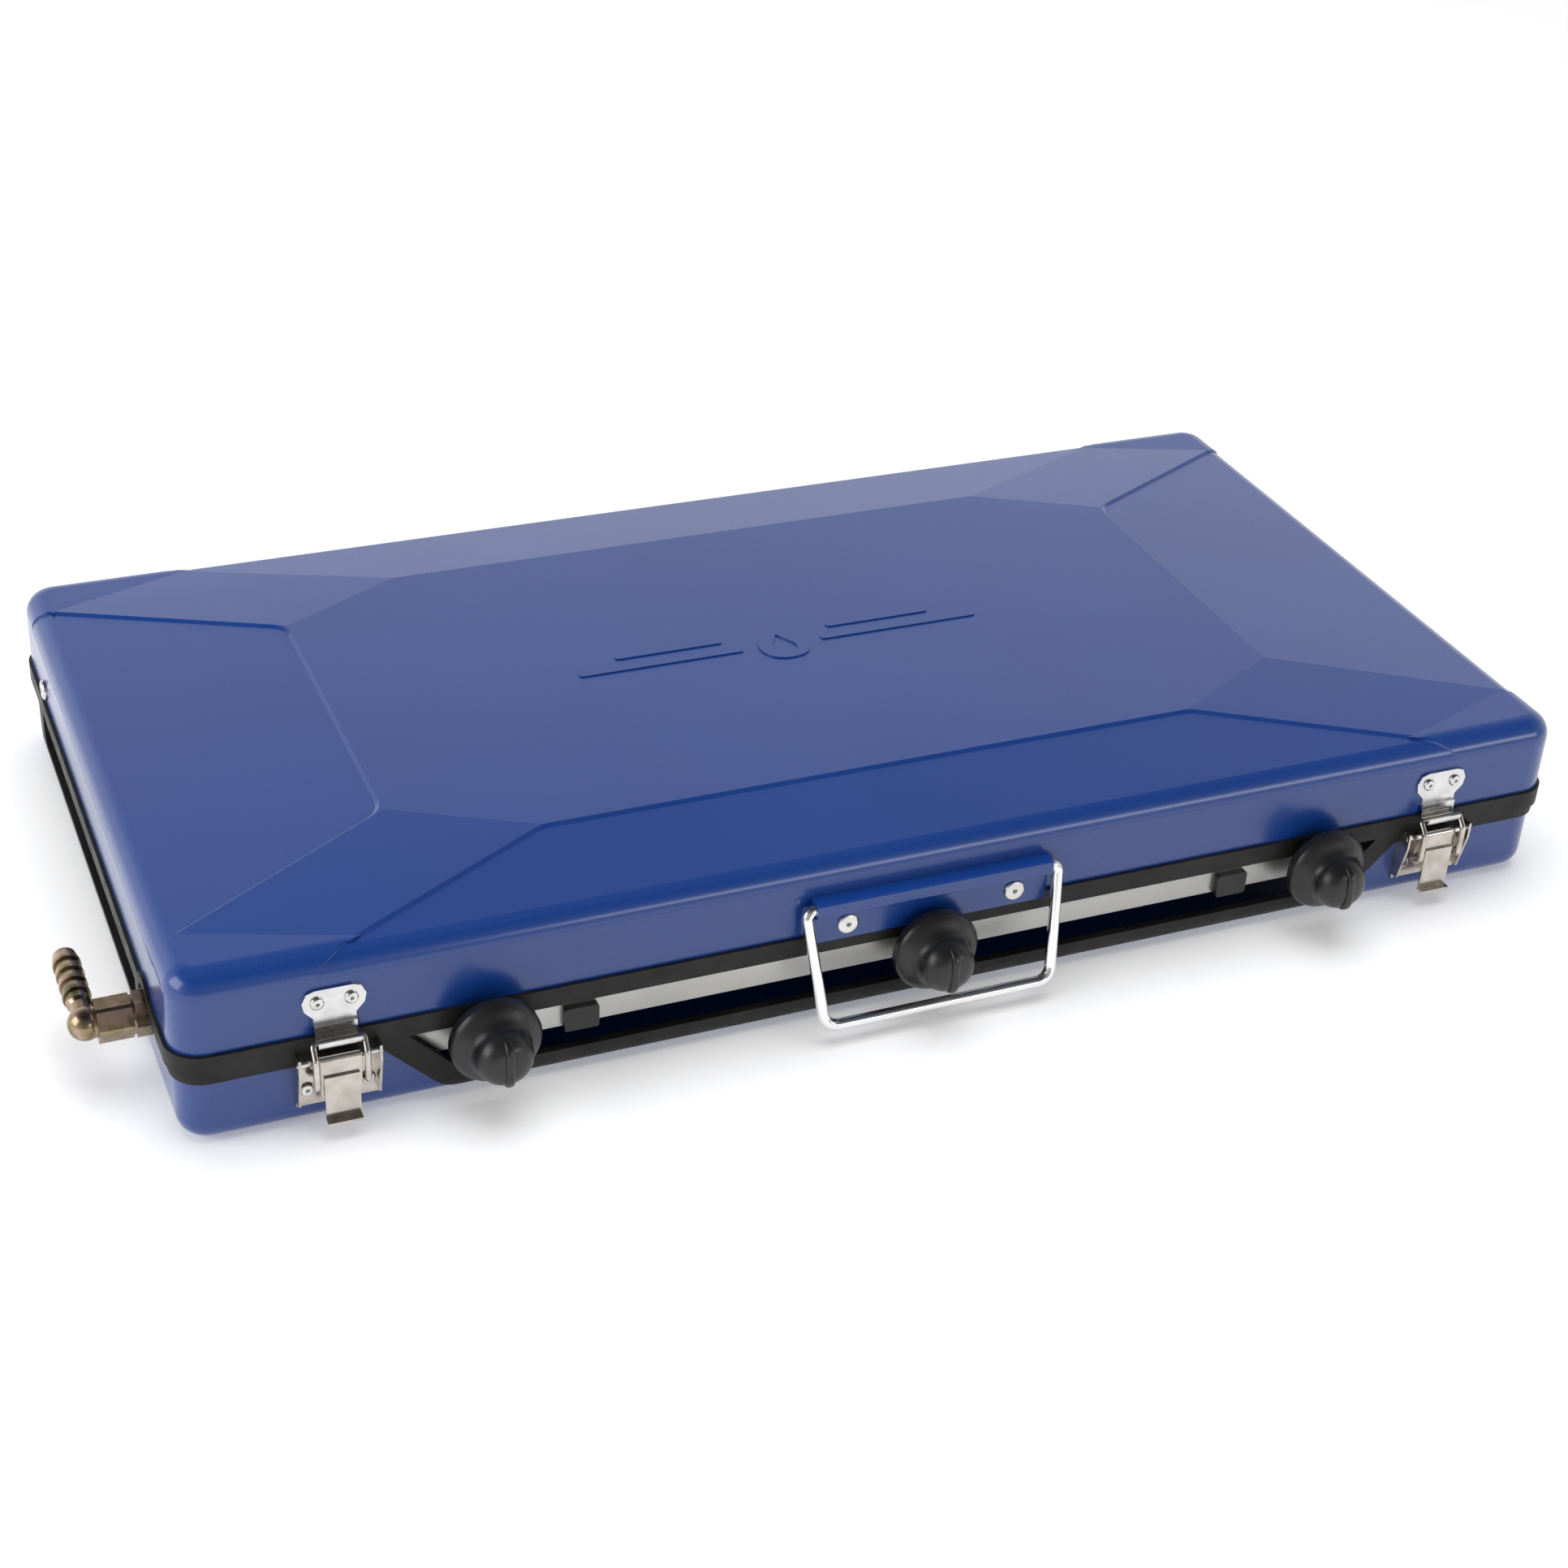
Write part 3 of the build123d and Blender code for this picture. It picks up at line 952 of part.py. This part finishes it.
# ---- everything ----------------------------------------------------------------------------
def collect():
    """Every node's name with its solid or its list of like solids."""
    base_shell = make_base_shell()
    lid_shell = make_lid_shell()
    nodes = {
        "base_shell": base_shell,
        "base_trim": make_base_trim(base_shell),
        "lid_shell": lid_shell,
        "lid_trim": make_lid_trim(lid_shell),
        "hob_plate": make_hob_plate(),
        "drip_pans": make_drip_pans(),
        "hob_posts": make_hob_posts(),
        "hob_screws": make_hob_screws(),
        "hob_clips": make_hob_clips(),
        "heat_shield": make_heat_shield(),
        "gas_rail": make_gas_rail(),
        "inlet_connector": make_inlet_connector(),
        "inlet_washer": make_inlet_washer(),
        "swivel_nut": make_swivel_nut(),
        "hose_tail": make_hose_tail(),
        "handle_bracket": make_handle_bracket(),
        "bracket_rivets": [rivet_y(x, -LID_Y - BRACKET_PROUD, z, BRACKET_RIVET_HEAD, BRACKET_SHANK,
                                   BRACKET_PROUD + SHEET) for x, z in BRACKET_RIVETS],
        "handle_wire": make_handle_wire(),
        "side_straps": [make_side_strap(side) for side in (-1, 1)],
        "side_rivets": [make_side_rivet(side) for side in (-1, 1)],
        "hinge_pins": [make_hinge_pin(x) for x in HINGE_X.values()],
        "latch_pins": [make_latch_pin(x) for x in LATCH_X.values()],
        "latch_rivets": [rivet_y(x, -BASE_Y - PLATE_SHEET, z, LATCH_RIVET_HEAD, LATCH_SHANK,
                                 PLATE_SHEET + SHEET) for x, z in LATCH_RIVETS],
        "strike_rivets": [rivet_y(x, -LID_Y - STRIKE_SHEET, z, STRIKE_RIVET_HEAD, STRIKE_SHANK,
                                  STRIKE_SHEET + SHEET) for x, z in STRIKE_RIVETS],
    }
    for name, x in TAP_X.items():
        nodes["valve_body_" + name] = make_valve_body(name)
        nodes["injector_" + name] = make_injector(x)
        nodes["spindle_" + name] = make_spindle(x)
        nodes["knob_" + name] = make_knob(x)
        nodes["burner_body_" + name] = make_burner_body(name)
        nodes["burner_cap_" + name] = make_burner_cap(name)
        nodes["trivet_frame_" + name] = make_trivet_frame(name)
        nodes["trivet_prongs_" + name] = make_trivet_prongs(name)
    for name, x in LATCH_X.items():
        nodes["latch_base_" + name] = make_latch_base(x)
        nodes["latch_lever_" + name] = make_lever(x)
        nodes["latch_bail_" + name] = make_bail(x)
        nodes["strike_plate_" + name] = make_strike_plate(x)
    for name, x in HINGE_X.items():
        nodes["hinge_base_leaf_" + name] = make_base_leaf(x)
        nodes["hinge_lid_leaf_" + name] = make_lid_leaf(x)
    return nodes


def main():
    os.makedirs("parts", exist_ok=True)
    for name, shape in collect().items():
        solids = shape if isinstance(shape, list) else [shape]
        made = Compound(children=[s for item in solids for s in item.solids()])
        export_step(made, f"parts/{name}.step")


main()
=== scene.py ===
"""Looks of the closed three-burner camping stove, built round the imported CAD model.

Metres, in the CAD model's frame: +X right along the front, +Y back, +Z up.
"""
import json
from math import cos, radians, sin

import bpy
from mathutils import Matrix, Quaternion, Vector

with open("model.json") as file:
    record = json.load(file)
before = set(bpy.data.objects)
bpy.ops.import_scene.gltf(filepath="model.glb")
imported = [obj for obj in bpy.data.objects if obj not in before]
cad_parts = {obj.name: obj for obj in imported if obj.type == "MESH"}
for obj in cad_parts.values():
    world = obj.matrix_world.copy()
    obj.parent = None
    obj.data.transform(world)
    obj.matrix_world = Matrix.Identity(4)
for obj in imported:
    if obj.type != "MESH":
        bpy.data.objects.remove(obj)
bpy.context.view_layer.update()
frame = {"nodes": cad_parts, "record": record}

# ---- camera --------------------------------------------------------------------------------
CAMERA_PLACE = (-0.3882, -0.8742, 0.6051)
VIEW_AZIMUTH = -24.24
VIEW_ELEVATION = 32.03
VIEW_ROLL = 3.305
LENS = 61.53
SENSOR = 36.0


def make_camera():
    """The camera at the photograph's viewing angle."""
    data = bpy.data.cameras.new("view")
    data.lens = LENS
    data.sensor_width = SENSOR
    data.clip_start = 0.05
    data.clip_end = 50
    camera = bpy.data.objects.new("view", data)
    bpy.context.scene.collection.objects.link(camera)
    azimuth = radians(VIEW_AZIMUTH)
    elevation = radians(VIEW_ELEVATION)
    back = Vector((sin(azimuth) * cos(elevation), -cos(azimuth) * cos(elevation), sin(elevation)))
    camera.rotation_mode = "QUATERNION"
    camera.location = CAMERA_PLACE
    level = (-back).to_track_quat("-Z", "Y")
    camera.rotation_quaternion = level @ Quaternion((0, 0, 1), radians(VIEW_ROLL))
    bpy.context.scene.camera = camera


# ---- stage and light -----------------------------------------------------------------------
FLOOR_HALF = 6.0
FLOOR_DROP = 0.0003  # keeps the floor clear of the case's flat underside
FLOOR_GLOW = 0.22

# The sky's grey by how far up a direction points, from 0 at the horizon to 1 overhead.
SKY_STOPS = ((0.30, 1.0), (0.52, 0.62), (0.72, 0.28))
OVERHEAD_FROM = 0.92
OVERHEAD_COLOUR = (0.06, 0.065, 0.075, 1)
# The sky's strength straight in front of the case, and the Y direction where it is full.
FRONT_STRENGTH = 0.34
FULL_STRENGTH_FROM = 0.25


def make_stage():
    """A plain pale floor with a slight glow of its own."""
    size = FLOOR_HALF
    mesh = bpy.data.meshes.new("floor")
    mesh.from_pydata([(-size, -size, 0), (size, -size, 0), (size, size, 0), (-size, size, 0)],
                     [], [(0, 1, 2, 3)])
    floor = bpy.data.objects.new("floor", mesh)
    floor.location.z = -FLOOR_DROP
    bpy.context.scene.collection.objects.link(floor)
    material = bpy.data.materials.new("floor")
    material.use_nodes = True
    shader = material.node_tree.nodes["Principled BSDF"]
    shader.inputs["Base Color"].default_value = (0.93, 0.93, 0.935, 1)
    shader.inputs["Roughness"].default_value = 0.9
    shader.inputs["Specular IOR Level"].default_value = 0.1
    shader.inputs["Emission Color"].default_value = (1, 1, 1, 1)
    shader.inputs["Emission Strength"].default_value = FLOOR_GLOW
    mesh.materials.append(material)


def make_world():
    """A studio that is white behind, dimmer in front and dark overhead.

    The case's rounds reflect the dark part and so read dark.
    """
    world = bpy.data.worlds.new("studio")
    bpy.context.scene.world = world
    world.use_nodes = True
    nodes = world.node_tree.nodes
    links = world.node_tree.links
    background = nodes["Background"]
    coords = nodes.new("ShaderNodeTexCoord")
    split = nodes.new("ShaderNodeSeparateXYZ")
    ramp = nodes.new("ShaderNodeValToRGB")
    links.new(coords.outputs["Generated"], split.inputs[0])
    links.new(split.outputs["Z"], ramp.inputs[0])
    dimmer = nodes.new("ShaderNodeMapRange")
    dimmer.inputs["From Min"].default_value = -1.0
    dimmer.inputs["From Max"].default_value = FULL_STRENGTH_FROM
    dimmer.inputs["To Min"].default_value = FRONT_STRENGTH
    links.new(split.outputs["Y"], dimmer.inputs["Value"])
    links.new(ramp.outputs[0], background.inputs["Color"])
    links.new(dimmer.outputs[0], background.inputs["Strength"])
    first, last = ramp.color_ramp.elements
    first.position, first.color = 0.0, (1, 1, 1, 1)
    last.position, last.color = OVERHEAD_FROM, OVERHEAD_COLOUR
    for place, grey in SKY_STOPS:
        stop = ramp.color_ramp.elements.new(place)
        stop.color = (grey, grey, grey, 1)


def soft_box(name, place, target, width, height, power, seen_in_gloss=True):
    """A rectangular area light aimed at a point, which may be kept out of reflections."""
    data = bpy.data.lights.new(name, "AREA")
    data.shape = "RECTANGLE"
    data.size = width
    data.size_y = height
    data.energy = power
    lamp = bpy.data.objects.new(name, data)
    lamp.location = place
    lamp.visible_glossy = seen_in_gloss
    lamp.rotation_mode = "QUATERNION"
    lamp.rotation_quaternion = (Vector(target) - Vector(place)).to_track_quat("-Z", "Y")
    bpy.context.scene.collection.objects.link(lamp)


def make_lights():
    """Three soft boxes: a broad one above, one at the left and a low strip in front."""
    soft_box("top_box", (0.1, 0.2, 2.6), (0, 0, 0), 2.4, 2.4, 52, seen_in_gloss=False)
    soft_box("left_box", (-1.7, -0.1, 0.8), (0, 0, 0.04), 1.2, 1.0, 12)
    soft_box("front_box", (0.9, -1.6, 0.55), (0.1, 0, 0.03), 1.3, 0.3, 5)


def set_tone():
    """A plain view, so that the white studio renders white."""
    bpy.context.scene.view_settings.view_transform = "Standard"


# ---- materials -----------------------------------------------------------------------------
PAINT_BLUE = (0.0060, 0.046, 0.240)
PAINT_DEEP = (0.0050, 0.040, 0.216)
STEEL = (0.50, 0.495, 0.475)
# Waves per metre along X, Y and Z, for lines that run along X.
ALONG_X = (7, 1500, 1500)
ALONG_X_DRAWN = (12, 900, 900)


class Finish:
    """A principled material under construction, with patterns laid out in the model's metres."""

    def __init__(self, name, colour, metallic=0.0, roughness=0.4, **sockets):
        self.material = bpy.data.materials.new(name)
        self.material.use_nodes = True
        tree = self.material.node_tree
        self.nodes, self.links = tree.nodes, tree.links
        self.shader = self.nodes["Principled BSDF"]
        self.colour = colour
        self.shader.inputs["Base Color"].default_value = (*colour, 1)
        self.shader.inputs["Metallic"].default_value = metallic
        self.shader.inputs["Roughness"].default_value = roughness
        for socket, value in sockets.items():
            self.shader.inputs[socket.replace("_", " ")].default_value = value
        self.coords = self.nodes.new("ShaderNodeTexCoord").outputs["Object"]
        self.height = None

    def noise(self, scale, detail=3.0, stretch=(1, 1, 1), rough=0.5):
        """A noise pattern; scale is in waves per metre."""
        mapping = self.nodes.new("ShaderNodeMapping")
        mapping.inputs["Scale"].default_value = stretch
        self.links.new(self.coords, mapping.inputs["Vector"])
        texture = self.nodes.new("ShaderNodeTexNoise")
        texture.inputs["Scale"].default_value = scale
        texture.inputs["Detail"].default_value = detail
        texture.inputs["Roughness"].default_value = rough
        self.links.new(mapping.outputs[0], texture.inputs["Vector"])
        return texture.outputs["Fac"]

    def cells(self, scale):
        """A pattern of crystal-like cells, each with its own value."""
        texture = self.nodes.new("ShaderNodeTexVoronoi")
        texture.inputs["Scale"].default_value = scale
        self.links.new(self.coords, texture.inputs["Vector"])
        grey = self.nodes.new("ShaderNodeRGBToBW")
        self.links.new(texture.outputs["Color"], grey.inputs[0])
        return grey.outputs[0]

    def spread(self, pattern, low, high, start=0.3, end=0.7):
        """A pattern's middle range stretched to run from one value to another."""
        span = self.nodes.new("ShaderNodeMapRange")
        span.inputs["From Min"].default_value = start
        span.inputs["From Max"].default_value = end
        span.inputs["To Min"].default_value = low
        span.inputs["To Max"].default_value = high
        self.links.new(pattern, span.inputs["Value"])
        return span.outputs[0]

    def vary_colour(self, pattern, other, start=0.3, end=0.7):
        """Blends the base colour towards another one by a pattern."""
        mix = self.nodes.new("ShaderNodeMix")
        mix.data_type = "RGBA"
        source = self.shader.inputs["Base Color"]
        if source.is_linked:
            self.links.new(source.links[0].from_socket, mix.inputs["A"])
        else:
            mix.inputs["A"].default_value = (*self.colour, 1)
        mix.inputs["B"].default_value = (*other, 1)
        self.links.new(self.spread(pattern, 0.0, 1.0, start, end), mix.inputs["Factor"])
        self.links.new(mix.outputs["Result"], source)

    def vary_roughness(self, pattern, low, high, start=0.3, end=0.7):
        """Runs the roughness from low to high by a pattern."""
        value = self.spread(pattern, low, high, start, end)
        self.links.new(value, self.shader.inputs["Roughness"])

    def bump(self, pattern, depth):
        """Raises the surface by a pattern; depth is in metres."""
        node = self.nodes.new("ShaderNodeBump")
        node.inputs["Strength"].default_value = 1.0
        node.inputs["Distance"].default_value = depth
        self.links.new(pattern, node.inputs["Height"])
        if self.height:
            self.links.new(self.height, node.inputs["Normal"])
        self.height = node.outputs[0]
        self.links.new(self.height, self.shader.inputs["Normal"])


def case_paint():
    """Blue stove enamel: satin gloss, a fine orange peel and faint handling marks."""
    f = Finish("case_paint", PAINT_BLUE, roughness=0.26, Coat_Weight=0.45, Coat_Roughness=0.14)
    f.vary_colour(f.noise(9, 2), PAINT_DEEP)
    f.vary_roughness(f.noise(150, 4, stretch=(1, 1.6, 1)), 0.26, 0.275)
    f.bump(f.noise(620, 2), 0.0000015)
    return f.material


def edge_rubber():
    """Extruded rubber edging, with a matt skin and a trace of dust."""
    f = Finish("edge_rubber", (0.008, 0.0085, 0.0075), roughness=0.5, Specular_IOR_Level=0.3)
    f.vary_colour(f.noise(70, 4), (0.018, 0.0185, 0.016), 0.45, 0.75)
    f.vary_roughness(f.noise(120, 3), 0.42, 0.6)
    f.bump(f.noise(2200, 3), 0.00003)
    return f.material


def brushed(name, colour, low, high, stretch):
    """Sheet or bar steel with fine lines along one direction."""
    f = Finish(name, colour, metallic=1.0)
    lines = f.noise(1.0, 4, stretch=stretch, rough=0.6)
    f.vary_roughness(lines, low, high)
    f.vary_colour(f.noise(22, 3), tuple(0.86 * c for c in colour))
    f.bump(lines, 0.000012)
    return f.material


def plated(name, colour, other, low, high, blotch=160):
    """Bright plated metal with a soft cloudiness and hairline polishing marks."""
    f = Finish(name, colour, metallic=1.0)
    f.vary_colour(f.noise(blotch, 2), other)
    f.vary_roughness(f.noise(420, 3, stretch=(1, 1, 2.5)), low, high)
    f.bump(f.noise(1500, 2), 0.000006)
    return f.material


def moulded(name, colour, low, high, grain):
    """Moulded black plastic with a fine spark grain."""
    f = Finish(name, colour, roughness=low, Specular_IOR_Level=0.5)
    f.vary_colour(f.noise(90, 3), tuple(1.7 * c for c in colour))
    f.vary_roughness(f.noise(240, 3), low, high)
    f.bump(f.noise(grain, 2), 0.00002)
    return f.material


def cast_alloy():
    """Sand-textured cast aluminium."""
    f = Finish("burner_alloy", (0.50, 0.50, 0.51), metallic=1.0)
    f.vary_colour(f.noise(120, 4), (0.33, 0.33, 0.34))
    f.vary_roughness(f.noise(300, 3), 0.42, 0.62)
    f.bump(f.noise(900, 4), 0.00009)
    return f.material


def cap_enamel():
    """Black stove enamel with a slightly pebbled skin."""
    f = Finish("cap_enamel", (0.011, 0.011, 0.012), roughness=0.3,
               Coat_Weight=0.4, Coat_Roughness=0.12)
    f.vary_colour(f.cells(1400), (0.028, 0.028, 0.03), 0.75, 1.0)
    f.bump(f.noise(420, 3), 0.00006)
    return f.material


def passivated():
    """Yellow-passivated zinc: gold with pink and olive patches."""
    f = Finish("fitting_zinc", (0.30, 0.24, 0.13), metallic=1.0)
    f.vary_colour(f.noise(170, 3), (0.44, 0.31, 0.24), 0.42, 0.6)
    f.vary_colour(f.noise(110, 3, stretch=(1.4, 1, 1)), (0.13, 0.13, 0.06), 0.55, 0.72)
    f.vary_roughness(f.noise(350, 3), 0.2, 0.34)
    f.bump(f.noise(1300, 2), 0.000012)
    return f.material


def galvanised():
    """Zinc-plated hinge steel with a faint spangle."""
    f = Finish("hinge_steel", (0.58, 0.59, 0.62), metallic=1.0)
    f.vary_colour(f.cells(260), (0.44, 0.45, 0.49), 0.2, 0.8)
    f.vary_roughness(f.cells(260), 0.28, 0.44, 0.0, 1.0)
    f.bump(f.noise(700, 3), 0.00002)
    return f.material


def make_finishes():
    """Every material slot of the record with its finish."""
    return {
        "case_paint": case_paint(),
        "edge_rubber": edge_rubber(),
        "hob_steel": brushed("hob_steel", STEEL, 0.26, 0.4, ALONG_X),
        "screw_steel": plated("screw_steel", (0.74, 0.73, 0.71), (0.6, 0.59, 0.57), 0.14, 0.26),
        "clip_black": moulded("clip_black", (0.010, 0.010, 0.010), 0.36, 0.5, 1600),
        "rail_steel": brushed("rail_steel", (0.42, 0.42, 0.42), 0.3, 0.42, ALONG_X_DRAWN),
        "fitting_zinc": passivated(),
        "handle_chrome": plated("handle_chrome", (0.90, 0.90, 0.90), (0.84, 0.84, 0.85),
                                0.07, 0.14),
        "tap_brass": plated("tap_brass", (0.74, 0.52, 0.22), (0.62, 0.42, 0.18), 0.24, 0.36),
        "knob_plastic": moulded("knob_plastic", (0.0075, 0.0075, 0.008), 0.28, 0.38, 1500),
        "burner_alloy": cast_alloy(),
        "cap_enamel": cap_enamel(),
        "wire_chrome": plated("wire_chrome", (0.80, 0.79, 0.77), (0.70, 0.66, 0.58), 0.12, 0.2),
        "latch_nickel": plated("latch_nickel", (0.62, 0.575, 0.53), (0.46, 0.42, 0.37), 0.14, 0.24),
        "strike_zinc": plated("strike_zinc", (0.72, 0.72, 0.72), (0.62, 0.62, 0.62), 0.16, 0.28),
        "hinge_steel": galvanised(),
    }


def dress_nodes():
    """Gives every CAD node the finish of its slot, keeping the shape."""
    finishes = make_finishes()
    for row in frame["record"]["subparts"]:
        node = frame["nodes"][row["node"]]
        finish = finishes[row["material_slot"]]
        if node.material_slots:
            for slot in node.material_slots:
                slot.material = finish
        else:
            node.data.materials.append(finish)


dress_nodes()
make_camera()
make_stage()
make_world()
make_lights()
set_tone()
